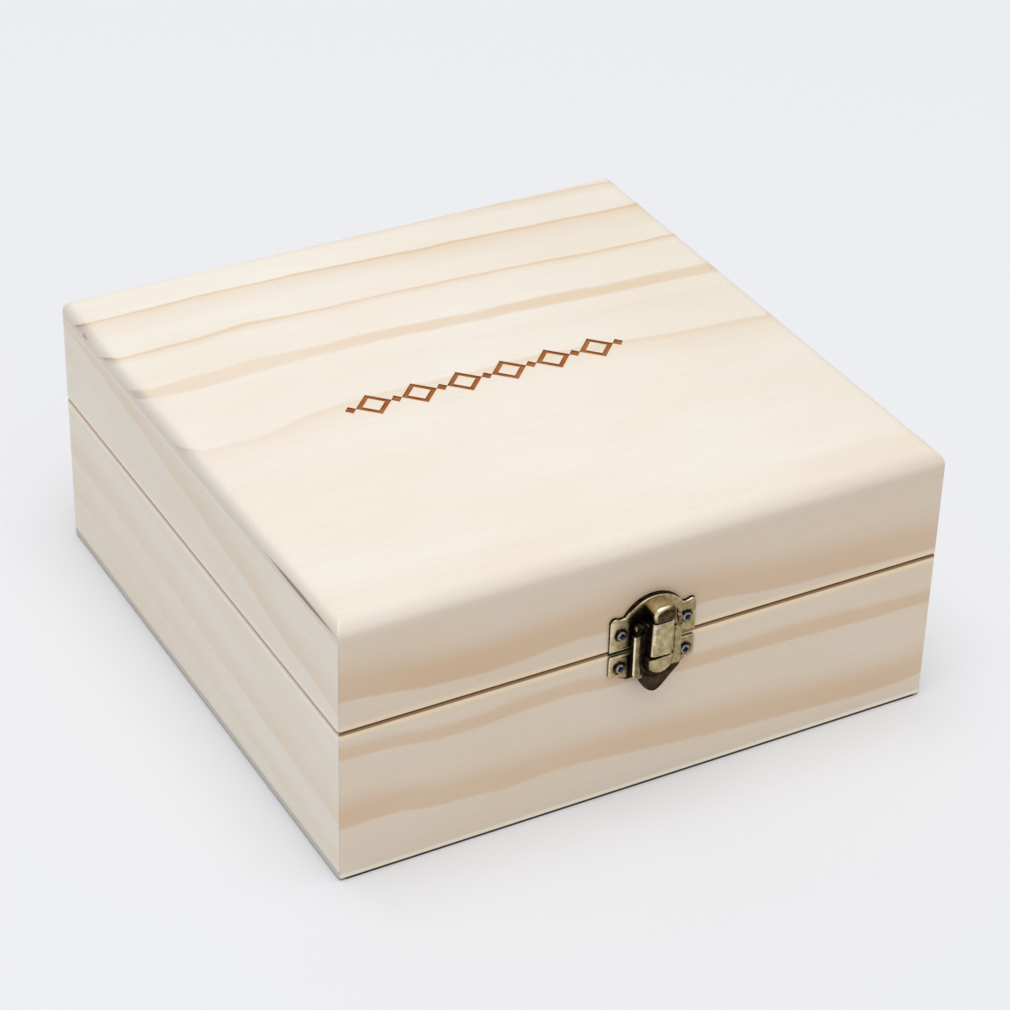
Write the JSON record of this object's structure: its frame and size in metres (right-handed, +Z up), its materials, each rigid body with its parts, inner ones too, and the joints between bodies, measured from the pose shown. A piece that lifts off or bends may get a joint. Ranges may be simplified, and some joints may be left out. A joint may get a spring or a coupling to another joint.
{
  "type": "essential oil storage box",
  "caption": "Square pine box with a hinged lid, a compartment grid for small bottles, and an aged brass hasp latch at the front.",
  "frame": {"origin": "middle of the box's underside", "axes": "+Z up, the front with the latch faces -Y, the hinges are at +Y, +X to the right as seen from the front"},
  "size_m": [0.19, 0.2054, 0.0845],
  "materials": {
    "pine": "sanded, unvarnished",
    "panel_pine": "sanded, unvarnished, with a burnt ornament",
    "divider_wood": "sanded, unvarnished",
    "aged_brass": "aged, rubbed bright on the raised edges",
    "dark_steel": "blued"
  },
  "bodies": {
    "base": {"base_front_board": "pine", "base_right_board": "pine", "base_back_board": "pine", "base_left_board": "pine", "base_bottom_panel": "divider_wood", "divider_across_1": "divider_wood", "divider_across_2": "divider_wood", "divider_across_3": "divider_wood", "divider_across_4": "divider_wood", "divider_deep_1": "divider_wood", "divider_deep_2": "divider_wood", "divider_deep_3": "divider_wood", "divider_deep_4": "divider_wood", "hinge_left_base_leaf": "aged_brass", "hinge_left_pin": "aged_brass", "hinge_left_base_screw_1": "dark_steel", "hinge_left_base_screw_2": "dark_steel", "hinge_right_base_leaf": "aged_brass", "hinge_right_pin": "aged_brass", "hinge_right_base_screw_1": "dark_steel", "hinge_right_base_screw_2": "dark_steel", "latch_lower_plate": "aged_brass", "latch_lower_screw_left": "dark_steel", "latch_lower_screw_right": "dark_steel"},
    "lid": {"lid_front_board": "pine", "lid_right_board": "pine", "lid_back_board": "pine", "lid_left_board": "pine", "lid_top_panel": "panel_pine", "hinge_left_lid_leaf": "aged_brass", "hinge_left_lid_screw_1": "dark_steel", "hinge_left_lid_screw_2": "dark_steel", "hinge_right_lid_leaf": "aged_brass", "hinge_right_lid_screw_1": "dark_steel", "hinge_right_lid_screw_2": "dark_steel", "latch_upper_plate": "aged_brass", "latch_pin": "aged_brass", "latch_upper_screw_left": "dark_steel", "latch_upper_screw_right": "dark_steel"},
    "hasp": {"latch_hasp": "aged_brass"}
  },
  "joints": [
    {"name": "lid_hinge", "type": "hinge", "parent": "base", "child": "lid", "pos_m": [0, 0.09715, 0.0493], "axis": [-1, 0, 0], "range_deg": [0, 105]},
    {"name": "hasp_hinge", "type": "hinge", "parent": "lid", "child": "hasp", "pos_m": [0, -0.0986, 0.0576], "axis": [-1, 0, 0], "range_deg": [0, 70]}
  ]
}
